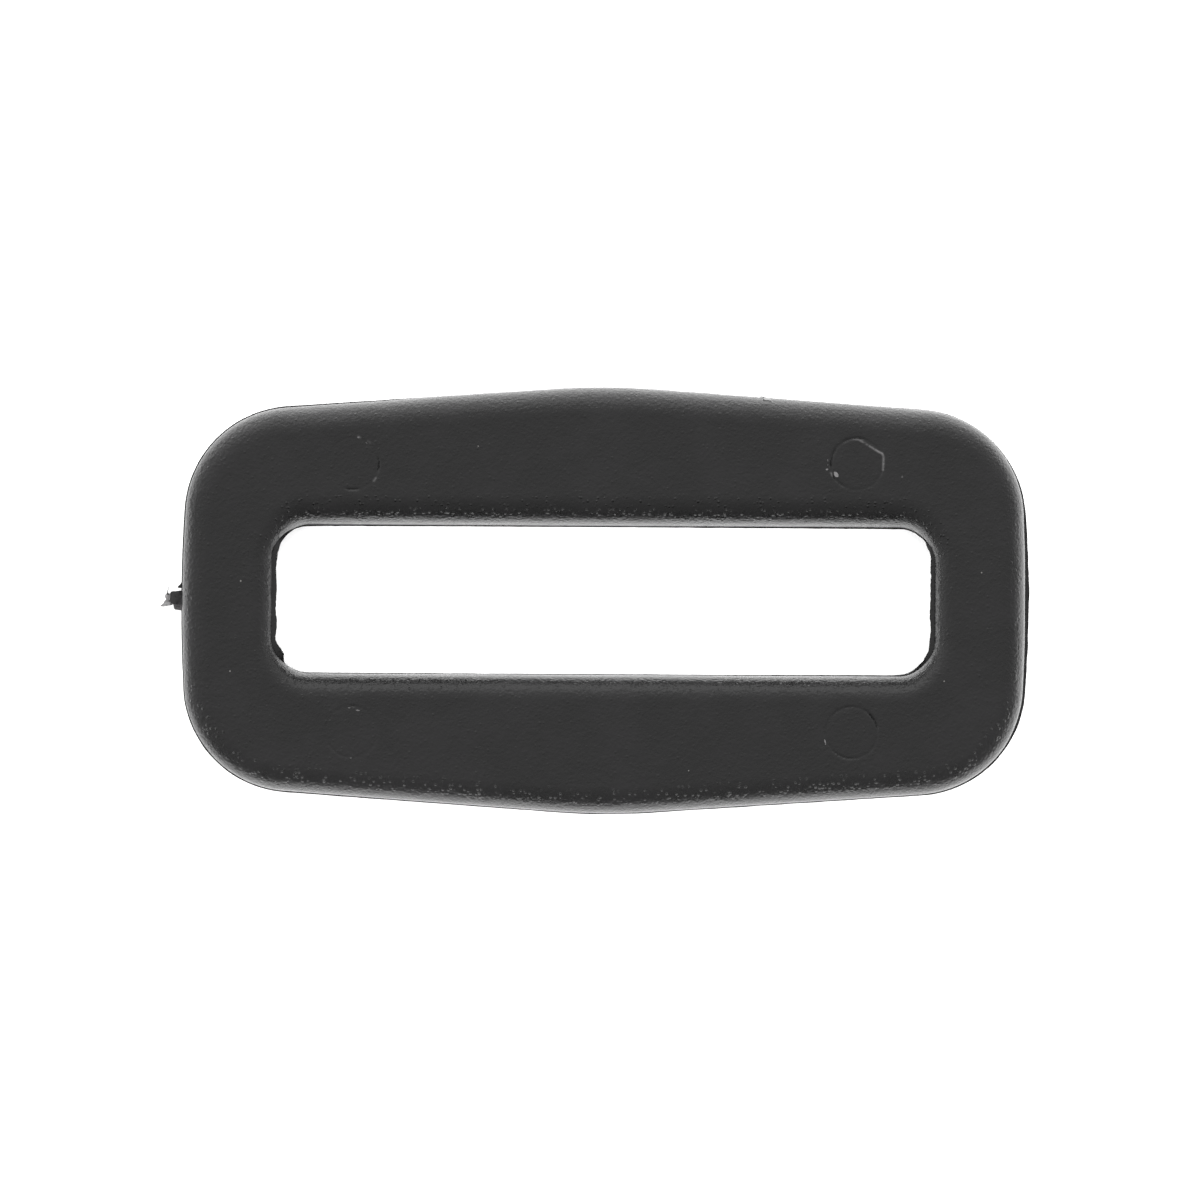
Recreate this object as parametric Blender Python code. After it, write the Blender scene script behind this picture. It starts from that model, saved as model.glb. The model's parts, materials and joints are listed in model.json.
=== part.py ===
"""Strap slider loop for 25 mm webbing, moulded in one piece of black plastic.

The loop lies flat. The origin is on the surface it rests on, under the centre of the slot.
+X runs along the slot, +Y across it, +Z up through the thickness. Lengths are in metres.
"""

from math import atan2, cos, hypot, pi, radians, sin, sqrt

import bmesh
import bpy

MM = 0.001

# Outline of the loop, seen from above
HALF_LENGTH = 16.40 * MM
HALF_WIDTH_AT_PEAK = 8.25 * MM
EDGE_SLOPE = radians(3.97)
PEAK_RADIUS = 27.5 * MM
CORNER_RADIUS = 4.25 * MM
END_RADIUS = 57.5 * MM

# The slot that takes the webbing
SLOT_HALF_LENGTH = 12.85 * MM
SLOT_HALF_WIDTH = 2.88 * MM
SLOT_CORNER_RADIUS = 1.40 * MM

# Section through a bar
THICKNESS = 3.20 * MM
EDGE_ROUNDING = 1.20 * MM

# Witness marks of the four ejector pins, on the upper face
PIN_RADIUS = 1.00 * MM
PIN_MARK_DEPTH = 0.05 * MM
PIN_CUTTER_HEIGHT = 0.20 * MM
PIN_HALF_SPACING_X = 9.75 * MM
PIN_HALF_SPACING_Y = 5.22 * MM

# Torn stub of the gate, near the middle of the -X end, on the parting plane.
# Its root is how far the stub's block reaches into the end bar.
GATE_Y = -0.08 * MM
GATE_WIDTH = 0.72 * MM
GATE_HEIGHT = 0.70 * MM
GATE_LENGTH = 0.42 * MM
GATE_LIP_Y = -0.12 * MM
GATE_LIP_WIDTH = 0.40 * MM
GATE_LIP_HEIGHT = 0.25 * MM
GATE_LIP_LENGTH = 0.38 * MM
GATE_ROOT = 0.60 * MM
GATE_TAPER = 0.80

# How finely the round stretches are divided
END_STEPS = 2
CORNER_STEPS = 8
PEAK_STEPS = 4
SLOT_CORNER_STEPS = 5
ROUNDING_RESOLUTION = 3
PIN_SIDES = 24
WELD_DISTANCE = 0.00001
SHARP_ANGLE = radians(30)

PLASTIC_COLOR = (0.035, 0.035, 0.036, 1.0)
PLASTIC_ROUGHNESS = 0.55


def clear_scene():
    """Remove every object, so that the script always starts from an empty scene."""
    for leftover in list(bpy.data.objects):
        bpy.data.objects.remove(leftover, do_unlink=True)


def make_collection(name):
    """A collection linked to the scene."""
    collection = bpy.data.collections.new(name)
    bpy.context.scene.collection.children.link(collection)
    return collection


def matte_plastic():
    """Black moulded plastic with a matte surface."""
    material = bpy.data.materials.new("matte_black_plastic")
    material.use_nodes = True
    shader = material.node_tree.nodes["Principled BSDF"]
    shader.inputs["Base Color"].default_value = PLASTIC_COLOR
    shader.inputs["Roughness"].default_value = PLASTIC_ROUGHNESS
    shader.inputs["Metallic"].default_value = 0.0
    return material


def arc(centre_x, centre_y, radius, start, end, steps):
    """Points along an arc, both ends included."""
    angles = [start + (end - start) * step / steps for step in range(steps + 1)]
    return [(centre_x + radius * cos(a), centre_y + radius * sin(a)) for a in angles]


def mirror_quarter(quarter):
    """A closed outline from its +X +Y quarter, which runs from the X axis to the Y axis."""
    left = [(-x, y) for x, y in reversed(quarter) if x > WELD_DISTANCE]
    upper = quarter + left
    lower = [(x, -y) for x, y in reversed(upper) if y > WELD_DISTANCE]
    return upper + lower


def outer_outline():
    """Long edges that slope up to a round peak, large corner arcs, and slightly crowned ends."""
    peak_y = HALF_WIDTH_AT_PEAK - PEAK_RADIUS
    slope_x = PEAK_RADIUS * sin(EDGE_SLOPE)
    slope_y = peak_y + PEAK_RADIUS * cos(EDGE_SLOPE)
    end_x = HALF_LENGTH - END_RADIUS
    # The corner arc's centre lies one corner radius inside the sloping edge, and at the distance
    # from the end arc's centre where the two arcs touch without a kink.
    start_x = slope_x - CORNER_RADIUS * sin(EDGE_SLOPE) - end_x
    start_y = slope_y - CORNER_RADIUS * cos(EDGE_SLOPE)
    along = start_x * cos(EDGE_SLOPE) - start_y * sin(EDGE_SLOPE)
    reach = END_RADIUS - CORNER_RADIUS
    run = sqrt(along ** 2 - hypot(start_x, start_y) ** 2 + reach ** 2) - along
    corner_x = start_x + run * cos(EDGE_SLOPE) + end_x
    corner_y = start_y - run * sin(EDGE_SLOPE)
    end_angle = atan2(corner_y, corner_x - end_x)
    edge_angle = pi / 2 - EDGE_SLOPE
    end = arc(end_x, 0, END_RADIUS, 0, end_angle, END_STEPS)
    corner = arc(corner_x, corner_y, CORNER_RADIUS, end_angle, edge_angle, CORNER_STEPS)
    peak = arc(0, peak_y, PEAK_RADIUS, edge_angle, pi / 2, PEAK_STEPS)
    return mirror_quarter(end + corner[1:] + peak)


def slot_outline():
    """A rectangle with small corner arcs."""
    corner_x = SLOT_HALF_LENGTH - SLOT_CORNER_RADIUS
    corner_y = SLOT_HALF_WIDTH - SLOT_CORNER_RADIUS
    return mirror_quarter(arc(corner_x, corner_y, SLOT_CORNER_RADIUS, 0, pi / 2, SLOT_CORNER_STEPS))


def add_outline(curve, points):
    """Add one closed outline to a flat curve."""
    spline = curve.splines.new("POLY")
    spline.points.add(len(points) - 1)
    for point, (x, y) in zip(spline.points, points):
        point.co = (x, y, 0, 1)
    spline.use_cyclic_u = True


def mesh_from_curve(guide, name, collection):
    """Turn a curve object into a closed mesh object and remove the curve."""
    depsgraph = bpy.context.evaluated_depsgraph_get()
    mesh = bpy.data.meshes.new_from_object(guide.evaluated_get(depsgraph))
    mesh.name = name
    shape = bmesh.new()
    shape.from_mesh(mesh)
    bmesh.ops.remove_doubles(shape, verts=shape.verts, dist=WELD_DISTANCE)
    bmesh.ops.recalc_face_normals(shape, faces=shape.faces)
    shape.to_mesh(mesh)
    shape.free()
    body = bpy.data.objects.new(name, mesh)
    body.matrix_world = guide.matrix_world
    collection.objects.link(body)
    bpy.data.objects.remove(guide, do_unlink=True)
    return body


def loop_body(collection):
    """The flat loop with its slot, and every edge rounded over."""
    curve = bpy.data.curves.new("loop_outline", "CURVE")
    curve.dimensions = "2D"
    curve.fill_mode = "BOTH"
    add_outline(curve, outer_outline())
    add_outline(curve, slot_outline())
    curve.extrude = THICKNESS / 2 - EDGE_ROUNDING
    curve.bevel_depth = EDGE_ROUNDING
    curve.bevel_resolution = ROUNDING_RESOLUTION
    # The rounding grows outwards, so the outline is drawn in by the same amount first.
    curve.offset = -EDGE_ROUNDING
    guide = bpy.data.objects.new("loop_outline", curve)
    guide.location = (0, 0, THICKNESS / 2)
    collection.objects.link(guide)
    bpy.context.view_layer.update()
    return mesh_from_curve(guide, "slider_frame", collection)


def as_cutter(tool):
    """Mark an object as a tool that isn't part of the loop."""
    tool.hide_render = True
    tool.display_type = "WIRE"
    return tool


def gate_block(name, x_range, y, size, tools):
    """A small block on the parting plane, narrower at its -X end."""
    start, end = x_range
    width, height = size
    mesh = bpy.data.meshes.new(name)
    shape = bmesh.new()
    bmesh.ops.create_cube(shape, size=1.0)
    for vert in shape.verts:
        narrowing = GATE_TAPER if vert.co.x < 0 else 1.0
        vert.co.x *= end - start
        vert.co.y *= width * narrowing
        vert.co.z *= height * narrowing
    shape.to_mesh(mesh)
    shape.free()
    tool = bpy.data.objects.new(name, mesh)
    tool.location = ((start + end) / 2, y, THICKNESS / 2)
    tools.objects.link(tool)
    return as_cutter(tool)


def pin_cutter(name, x, y, tools):
    """A short cylinder that reaches one mark's depth into the upper face."""
    mesh = bpy.data.meshes.new(name)
    shape = bmesh.new()
    bmesh.ops.create_cone(shape, cap_ends=True, segments=PIN_SIDES, radius1=PIN_RADIUS,
                          radius2=PIN_RADIUS, depth=PIN_CUTTER_HEIGHT)
    shape.to_mesh(mesh)
    shape.free()
    tool = bpy.data.objects.new(name, mesh)
    tool.location = (x, y, THICKNESS - PIN_MARK_DEPTH + PIN_CUTTER_HEIGHT / 2)
    tools.objects.link(tool)
    return as_cutter(tool)


def combine(body, tool, operation):
    """Join a tool to the body, or cut it away, with an exact Boolean."""
    boolean = body.modifiers.new(tool.name, "BOOLEAN")
    boolean.operation = operation
    boolean.solver = "EXACT"
    boolean.object = tool


def add_gate_stub(body, tools):
    """What is left of the gate where the loop was torn off its runner: a stub and its torn lip."""
    stub_end = -HALF_LENGTH - GATE_LENGTH
    stub_span = (stub_end, -HALF_LENGTH + GATE_ROOT)
    lip_span = (stub_end - GATE_LIP_LENGTH, stub_end + GATE_LENGTH / 2)
    stub = gate_block("gate_stub", stub_span, GATE_Y, (GATE_WIDTH, GATE_HEIGHT), tools)
    lip = gate_block("gate_lip", lip_span, GATE_LIP_Y, (GATE_LIP_WIDTH, GATE_LIP_HEIGHT), tools)
    combine(body, stub, "UNION")
    combine(body, lip, "UNION")


def add_pin_marks(body, tools):
    """Four shallow round marks, two on each long bar."""
    for side_x, name_x in ((-1, "left"), (1, "right")):
        for side_y, name_y in ((-1, "near"), (1, "far")):
            name = "pin_mark_" + name_y + "_" + name_x
            x = side_x * PIN_HALF_SPACING_X
            y = side_y * PIN_HALF_SPACING_Y
            combine(body, pin_cutter(name, x, y, tools), "DIFFERENCE")


def main():
    """Build the loop."""
    clear_scene()
    parts = make_collection("strap_slider_loop")
    tools = make_collection("cutters")
    body = loop_body(parts)
    body.data.materials.append(matte_plastic())
    body.data.shade_smooth()
    body.data.set_sharp_from_angle(angle=SHARP_ANGLE)
    add_gate_stub(body, tools)
    add_pin_marks(body, tools)


main()
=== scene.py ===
"""Looks of a strap slider loop: matte black plastic, moulded in one shot, on a white table.

The packed model gives the sizes. Everything here is in metres, in the model's own frame: the loop lies
on z = 0, its slot runs along X, and the face with the ejector-pin marks looks up.
"""

import json
from collections import namedtuple
from math import atan2, cos, degrees, exp, hypot, pi, radians, sin, sqrt, tau

import bmesh
import bpy
from mathutils import Matrix, Vector, noise


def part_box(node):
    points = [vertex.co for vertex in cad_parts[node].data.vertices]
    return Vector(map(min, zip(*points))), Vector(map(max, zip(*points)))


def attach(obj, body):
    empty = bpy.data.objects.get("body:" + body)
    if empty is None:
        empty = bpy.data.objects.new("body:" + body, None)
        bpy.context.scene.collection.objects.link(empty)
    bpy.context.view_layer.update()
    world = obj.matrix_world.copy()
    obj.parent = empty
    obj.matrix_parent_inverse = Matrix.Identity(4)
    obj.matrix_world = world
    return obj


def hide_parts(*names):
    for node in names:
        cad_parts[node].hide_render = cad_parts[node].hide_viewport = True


bl_info = {
    "name": "Strap Slider Loop",
    "version": (1, 0, 0),
    "blender": (4, 5, 0),
    "location": "View3D > Sidebar > Strap Loop",
    "description": "Builds the moulded strap loop, its gate stub and its table",
    "category": "Add Mesh",
}

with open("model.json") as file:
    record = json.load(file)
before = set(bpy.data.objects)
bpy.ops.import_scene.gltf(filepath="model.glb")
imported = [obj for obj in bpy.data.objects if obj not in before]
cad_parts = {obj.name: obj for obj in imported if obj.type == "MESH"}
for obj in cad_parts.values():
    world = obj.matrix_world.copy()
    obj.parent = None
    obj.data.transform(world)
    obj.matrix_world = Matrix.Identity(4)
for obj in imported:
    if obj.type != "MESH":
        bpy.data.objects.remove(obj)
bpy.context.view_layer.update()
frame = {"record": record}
CAD_NODE = "slider_frame"
LOW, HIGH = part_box(CAD_NODE)
MOUNTS = {mount["name"]: mount["pos_m"] for mount in frame["record"]["mounts"]}
MM = 0.001


# ---------------------------------------------------------------- settings

class LoopSettings(bpy.types.PropertyGroup):
    """Sizes of the moulded loop."""

    half_length: bpy.props.FloatProperty(
        name="Half Length", description="From the middle of the slot to the plain end",
        default=HIGH.x, unit="LENGTH", precision=5)
    half_width: bpy.props.FloatProperty(
        name="Half Width", description="From the middle of the slot to the peak of a long edge",
        default=HIGH.y, unit="LENGTH", precision=5)
    thickness: bpy.props.FloatProperty(
        name="Thickness", description="Height of the loop as it lies",
        default=HIGH.z, unit="LENGTH", precision=5)
    slot_half_length: bpy.props.FloatProperty(
        name="Slot Half Length", description="Half the length of the slot",
        default=MOUNTS["slot_right_wall"][0], unit="LENGTH", precision=5)
    slot_half_width: bpy.props.FloatProperty(
        name="Slot Half Width", description="Half the width of the slot",
        default=MOUNTS["slot_far_wall"][1], unit="LENGTH", precision=5)
    edge_slope: bpy.props.FloatProperty(
        name="Edge Slope", description="How steeply a long edge rises to its peak",
        default=radians(3.97), subtype="ANGLE")
    peak_radius: bpy.props.FloatProperty(
        name="Peak Radius", description="Rounding of the peak in plan",
        default=27.5 * MM, unit="LENGTH", precision=5)
    corner_radius: bpy.props.FloatProperty(
        name="Corner Radius", description="Radius of an outer corner in plan",
        default=4.25 * MM, unit="LENGTH", precision=5)
    end_radius: bpy.props.FloatProperty(
        name="End Radius", description="Crown of an end in plan",
        default=57.5 * MM, unit="LENGTH", precision=5)
    slot_corner_radius: bpy.props.FloatProperty(
        name="Slot Corner Radius", description="Radius of a slot corner in plan",
        default=1.40 * MM, unit="LENGTH", precision=5)


class PinMarkSettings(bpy.types.PropertyGroup):
    """Sizes of the ejector-pin witness marks."""

    radius: bpy.props.FloatProperty(
        name="Pin Radius", description="Radius of an ejector pin",
        default=1.00 * MM, unit="LENGTH", precision=5)
    spacing_x: bpy.props.FloatProperty(
        name="Half Spacing X", description="From the middle to a pin along the loop",
        default=9.75 * MM, unit="LENGTH", precision=5)
    spacing_y: bpy.props.FloatProperty(
        name="Half Spacing Y", description="From the middle to a pin across the loop",
        default=5.22 * MM, unit="LENGTH", precision=5)
    groove_depth: bpy.props.FloatProperty(
        name="Groove Depth", description="Depth of the ring round a mark",
        default=0.042 * MM, unit="LENGTH", precision=6)
    groove_width: bpy.props.FloatProperty(
        name="Groove Width", description="Half width of the ring round a mark",
        default=0.048 * MM, unit="LENGTH", precision=6)
    step: bpy.props.FloatProperty(
        name="Pin Step", description="How far a pin's face stands below the surface",
        default=0.006 * MM, unit="LENGTH", precision=6)
    burr_height: bpy.props.FloatProperty(
        name="Burr Height", description="Height of the strongest burr round a mark",
        default=0.050 * MM, unit="LENGTH", precision=6)


class PlasticSettings(bpy.types.PropertyGroup):
    """Colour and surface of the plastic."""

    colour: bpy.props.FloatVectorProperty(
        name="Colour", description="Colour of the plastic", size=4,
        default=(0.0125, 0.0122, 0.0126, 1.0), subtype="COLOR", min=0, max=1)
    colour_light: bpy.props.FloatVectorProperty(
        name="Light Colour", description="Paler streaks in the plastic", size=4,
        default=(0.0165, 0.0160, 0.0168, 1.0), subtype="COLOR", min=0, max=1)
    # Torn grey, which also paints the highlights on the pin burrs and on the gate's lower step.
    torn_and_highlight_colour: bpy.props.FloatVectorProperty(
        name="Torn Colour", description="Colour where the plastic was torn or nicked", size=4,
        default=(0.40, 0.39, 0.395, 1.0), subtype="COLOR", min=0, max=1)
    # Painted light: the floor's reflection on the flakes at the nick, and the light shining through the
    # gate's thin flakes.
    painted_light_colour: bpy.props.FloatVectorProperty(
        name="Pale Colour", description="Colour where a thin flake lets the light through", size=4,
        default=(0.86, 0.86, 0.86, 1.0), subtype="COLOR", min=0, max=1)
    dust_colour: bpy.props.FloatVectorProperty(
        name="Dust Colour", description="Colour of the dust on it", size=4,
        default=(0.30, 0.29, 0.28, 1.0), subtype="COLOR", min=0, max=1)
    roughness: bpy.props.FloatProperty(
        name="Roughness", description="Roughness of the moulded surface", default=0.28, subtype="FACTOR")
    grain_size: bpy.props.FloatProperty(
        name="Grain Size", description="Size of the moulded grain",
        default=0.13 * MM, unit="LENGTH", precision=6)
    grain_depth: bpy.props.FloatProperty(
        name="Grain Depth", description="Depth of the moulded grain",
        default=0.026 * MM, unit="LENGTH", precision=6)


class StageSettings(bpy.types.PropertyGroup):
    """The table, the lamps and the camera."""

    view_width: bpy.props.FloatProperty(
        name="View Width", description="Width of what the camera sees",
        default=46.56 * MM, unit="LENGTH", precision=5)
    camera_height: bpy.props.FloatProperty(
        name="Camera Height", description="Height of the camera above the table",
        default=0.40, unit="LENGTH")
    camera_tilt: bpy.props.FloatProperty(
        name="Camera Tilt", description="How far the camera leans off the vertical towards the near edge",
        default=radians(1.6), subtype="ANGLE")
    camera_turn: bpy.props.FloatProperty(
        name="Camera Turn", description="Turn of the camera about its own axis",
        default=radians(0.31), subtype="ANGLE")
    table_colour: bpy.props.FloatVectorProperty(
        name="Table Colour", description="Colour of the table", size=4,
        default=(0.90, 0.90, 0.90, 1.0), subtype="COLOR", min=0, max=1)
    table_power: bpy.props.FloatProperty(
        name="Table Lamp Power", description="Power of the lamp that lights only the table", default=58.0)
    key_power: bpy.props.FloatProperty(
        name="Key Lamp Power", description="Power of the soft lamp beyond the far edge", default=1.3)
    sky_strength: bpy.props.FloatProperty(
        name="Surround Strength", description="Brightness of the grey surround", default=0.65)


# ---------------------------------------------------------------- plan outlines

# Stations on half an end, on a corner, and on the shoulder between the corner and the shared places.
END_STATIONS = 20
CORNER_STATIONS = 26
SHOULDER_STATIONS = 8

# The shared places begin here, and go on in coarse steps, or in fine ones up to this far from a pin mark.
SHARED_X = 11.20 * MM
COARSE_STEP = 0.16 * MM
FINE_STEP = 0.036 * MM
FINE_MARGIN = 0.22 * MM


def arc_stations(centre_x, centre_y, radius, start, end, count):
    """Stations along an arc, its end left out: point and normal, in plan."""
    stations = []
    for step in range(count):
        angle = start + (end - start) * step / count
        normal = (cos(angle), sin(angle))
        stations.append((centre_x + radius * normal[0], centre_y + radius * normal[1], *normal))
    return stations


def shared_places(pins):
    """Places along X where the outer edge and the slot edge are divided alike, finer at the pin marks."""
    places = [SHARED_X]
    while places[-1] > FINE_STEP:
        reach = abs(places[-1] - pins.spacing_x) - pins.radius - FINE_MARGIN
        step = FINE_STEP if reach < 0 else min(COARSE_STEP, max(FINE_STEP, reach))
        places.append(max(0.0, places[-1] - step))
    if places[-1] > 0:
        places[-1] = 0.0
    return places


def outer_quarter(loop, pins):
    """The outer outline from the +X axis to the +Y axis."""
    peak_y = loop.half_width - loop.peak_radius
    slope = loop.edge_slope
    slope_x = loop.peak_radius * sin(slope)
    slope_y = peak_y + loop.peak_radius * cos(slope)
    end_x = loop.half_length - loop.end_radius
    start_x = slope_x - loop.corner_radius * sin(slope) - end_x
    start_y = slope_y - loop.corner_radius * cos(slope)
    along = start_x * cos(slope) - start_y * sin(slope)
    reach = loop.end_radius - loop.corner_radius
    run = sqrt(along ** 2 - hypot(start_x, start_y) ** 2 + reach ** 2) - along
    corner_x = start_x + run * cos(slope) + end_x
    corner_y = start_y - run * sin(slope)
    end_angle = atan2(corner_y, corner_x - end_x)
    edge_angle = pi / 2 - slope

    def edge(x):
        if x < slope_x:
            angle = pi / 2 - atan2(x, sqrt(loop.peak_radius ** 2 - x ** 2))
            return (x, peak_y + loop.peak_radius * sin(angle), cos(angle), sin(angle))
        return (x, slope_y - (x - slope_x) * sin(slope) / cos(slope), sin(slope), cos(slope))

    stations = arc_stations(end_x, 0, loop.end_radius, 0, end_angle, END_STATIONS)
    stations += arc_stations(corner_x, corner_y, loop.corner_radius, end_angle, edge_angle, CORNER_STATIONS)
    shoulder_x = corner_x + loop.corner_radius * cos(edge_angle)
    for step in range(SHOULDER_STATIONS):
        stations.append(edge(shoulder_x + (SHARED_X - shoulder_x) * step / SHOULDER_STATIONS))
    return stations + [edge(x) for x in shared_places(pins)]


def slot_quarter(loop, pins):
    """The slot's outline from the +X axis to the +Y axis. Its normals point into the slot."""
    corner_x = loop.slot_half_length - loop.slot_corner_radius
    corner_y = loop.slot_half_width - loop.slot_corner_radius
    stations = []
    for step in range(END_STATIONS):
        stations.append((loop.slot_half_length, corner_y * step / END_STATIONS, 1, 0))
    stations += arc_stations(corner_x, corner_y, loop.slot_corner_radius, 0, pi / 2, CORNER_STATIONS)
    for step in range(SHOULDER_STATIONS):
        x = corner_x + (SHARED_X - corner_x) * step / SHOULDER_STATIONS
        stations.append((x, loop.slot_half_width, 0, 1))
    stations += [(x, loop.slot_half_width, 0, 1) for x in shared_places(pins)]
    return [(x, y, -normal_x, -normal_y) for x, y, normal_x, normal_y in stations]


def whole_outline(quarter):
    """A closed outline from its +X +Y quarter, whose first and last stations lie on the axes."""
    left = [(-x, y, -nx, ny) for x, y, nx, ny in reversed(quarter[:-1])]
    upper = quarter + left
    lower = [(x, -y, nx, -ny) for x, y, nx, ny in reversed(upper[1:-1])]
    return upper + lower


# ---------------------------------------------------------------- flash along the parting line

# Half the thickness of the flash, where it leaves the wall and at its tip, and its least width.
FIN_ROOT = 0.040 * MM
FIN_TIP = 0.014 * MM
FIN_LEAST_WIDTH = 0.004 * MM

# How ragged the flash is: its share of the width, its scale, and a finer unevenness on top of it.
FIN_RAGGED = 0.26
FIN_NOISE_SCALE = 1.4 / MM
FINER_RAGGED = 0.6
FINER_NOISE_SCALE = 4 * FIN_NOISE_SCALE

# Width of the flash, in mm, by the direction from the middle of the loop, in degrees from +X
# counter-clockwise. The outer edge and the slot each have their own.
OUTER_FLASH = ((0, 0.085), (1.4, 0.115), (3.2, 0.080), (8, 0.066), (14, 0.045), (20, 0.022), (34, 0.024),
               (60, 0.030), (120, 0.030), (145, 0.026), (156, 0.018), (168, 0.008), (180, 0.005),
               (190, 0.008), (195, 0.032), (202, 0.042), (215, 0.040), (250, 0.036), (290, 0.036),
               (325, 0.038), (336, 0.050), (345, 0.062), (352, 0.066), (356, 0.070), (360, 0.085))
SLOT_FLASH = ((0, 0.225), (3, 0.220), (6.5, 0.215), (9.6, 0.190), (11.5, 0.110), (14, 0.050), (25, 0.042),
              (60, 0.034), (150, 0.034), (164, 0.042), (167, 0.060), (170, 0.150), (173, 0.175),
              (180, 0.165), (184, 0.175), (187, 0.145), (188.2, 0.180), (189.3, 0.240), (190.3, 0.250),
              (191, 0.120), (191.5, 0.030), (210, 0.026), (330, 0.026), (345, 0.040), (348.5, 0.150),
              (351, 0.215), (353, 0.240), (356, 0.235), (360, 0.225))

# How far the upper half of the outer edge is set back from the lower half, in mm, by direction too.
OUTER_SET_BACK = ((0, 0.105), (8, 0.085), (14, 0.062), (19, 0.050), (26, 0.025), (40, 0.0), (128, 0.0),
                  (142, 0.040), (156, 0.070), (168, 0.060), (180, 0.050), (188, 0.046), (196, 0.024),
                  (208, 0.008), (225, 0.0), (326, 0.0), (338, 0.030), (346, 0.072), (352, 0.085),
                  (360, 0.105))


def between_keys(keys, place):
    """The value at a place, eased between the keys on both sides of it."""
    for (place_a, value_a), (place_b, value_b) in zip(keys, keys[1:]):
        if place <= place_b:
            share = (place - place_a) / (place_b - place_a)
            share = share * share * (3 - 2 * share)
            return value_a + (value_b - value_a) * share
    return keys[-1][1]


def flash_width(keys, direction, x, y):
    """How far the flash stands out at one place on the parting line."""
    width = between_keys(keys, direction) * MM
    ragged = noise.noise(Vector((x, y, 0)) * FIN_NOISE_SCALE)
    ragged += FINER_RAGGED * noise.noise(Vector((x, y, 1)) * FINER_NOISE_SCALE)
    return max(FIN_LEAST_WIDTH, width * (1 + FIN_RAGGED * ragged))


# ---------------------------------------------------------------- pin marks

# One entry for each mark: its name, which side of each axis it is on, how far it strays from its
# place in mm, how deep its ring is all round, and then the stretches where the ring is deeper and
# those with a burr. A stretch is its direction and half width in degrees, and its strength, where
# 1 stands for the whole groove depth or burr height.
PIN_MARKS = (
    ("far_right", (1, 1), (-0.01, 0.065), 0.35,
     ((100, 40, 1.0), (165, 40, 1.15), (222, 30, 0.8), (-15, 16, 0.7)),
     ((203, 7, 0.5),)),
    ("far_left", (-1, 1), (0.01, -0.025), 0.16,
     ((270, 23, 1.15), (-2, 26, 1.3)),
     ((77, 6, 0.35), (54, 7, 0.16), (-36, 9, 0.40))),
    ("near_left", (-1, -1), (0.02, 0.055), 0.22,
     ((88, 10, 0.7), (230, 40, 0.3)),
     ()),
    ("near_right", (1, -1), (-0.16, 0.115), 0.45,
     ((34, 40, 1.1), (110, 40, 0.4), (250, 40, 0.6)),
     ()),
)

# A burr: how far outside the ring it stands, its half width, how far from the ring it is still felt, and
# how pale the strongest one is painted, a painted highlight on its crest. The gain lets a stretch reach its
# full strength before its middle.
BURR_OFFSET = 0.05 * MM
BURR_WIDTH = 0.036 * MM
BURR_REACH = 6 * BURR_WIDTH
BURR_PAINTED_HIGHLIGHT = 0.85
STRETCH_GAIN = 1.6

# How gradually the face steps down to the pin's own, in groove widths, and how many times as far from the
# ring it counts as level.
STEP_SOFTNESS = 0.4
LEVEL = 40.0

# The long burr of the far right mark, from the middle of the mark in mm: place and strength.
LONG_BURR = ((-0.18, 0.975, 0.08), (0.077, 0.939, 0.48), (0.40, 0.745, 0.38), (0.823, 0.483, 0.72),
             (0.98, 0.405, 0.80), (1.030, 0.30, 0.52), (1.030, 0.05, 0.62), (1.010, -0.22, 0.60))


def stretch(angle, centre, half_width):
    """1 at the middle of a stretch of a ring, easing to 0 at its ends."""
    apart = abs((angle - centre + pi) % tau - pi)
    return 0.0 if apart >= half_width else 0.5 + 0.5 * cos(pi * apart / half_width)


def over_stretches(angle, stretches):
    """The strongest of several stretches at one direction."""
    strengths = [strength * min(1.0, STRETCH_GAIN * stretch(angle, radians(centre), radians(half)))
                 for centre, half, strength in stretches]
    return max(strengths, default=0.0)


def long_burr(x, y):
    """Strength of the long burr at a place, given in mm from the middle of its mark."""
    strongest = 0.0
    for (start_x, start_y, start), (end_x, end_y, end) in zip(LONG_BURR, LONG_BURR[1:]):
        along_x, along_y = end_x - start_x, end_y - start_y
        share = ((x - start_x) * along_x + (y - start_y) * along_y) / (along_x ** 2 + along_y ** 2)
        share = min(1.0, max(0.0, share))
        away = hypot(x - start_x - share * along_x, y - start_y - share * along_y) * MM
        strongest = max(strongest, (start + (end - start) * share) * exp(-(away / BURR_WIDTH) ** 2))
    return strongest


def pin_relief(pins, x, y):
    """Height of the upper face above its plane near the pin marks, and the painted highlight on its burrs
    there.
    """
    for name, (side_x, side_y), (stray_x, stray_y), ring, deeper, burrs in PIN_MARKS:
        away_x = x - side_x * pins.spacing_x - stray_x * MM
        away_y = y - side_y * pins.spacing_y - stray_y * MM
        past_ring = hypot(away_x, away_y) - pins.radius
        if past_ring > BURR_REACH:
            continue
        angle = atan2(away_y, away_x)
        depth = pins.groove_depth * (ring + over_stretches(angle, deeper))
        groove = depth * exp(-(past_ring / pins.groove_width) ** 2)
        burr_place = (past_ring - BURR_OFFSET) / BURR_WIDTH
        burr = over_stretches(angle, burrs) * exp(-burr_place ** 2)
        if name == "far_right":
            burr = max(burr, long_burr(away_x / MM, away_y / MM))
        inside = pins.step / (1 + exp(min(LEVEL, past_ring / (STEP_SOFTNESS * pins.groove_width))))
        # The burrs' paleness is a painted highlight on their crests.
        return pins.burr_height * burr - groove - inside, BURR_PAINTED_HIGHLIGHT * burr
    return 0.0, 0.0


# ---------------------------------------------------------------- the moulded loop

TOP_ROWS = 62
ROUNDING_ROWS = 14
UNDER_ROUNDING_ROWS = 9
UNDER_ROWS = 6

# Edges that bend by more than this are shaded as creases, and points closer than this are one point.
SHARP_ANGLE = radians(38)
WELD_REACH = 0.00001 * MM

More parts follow.
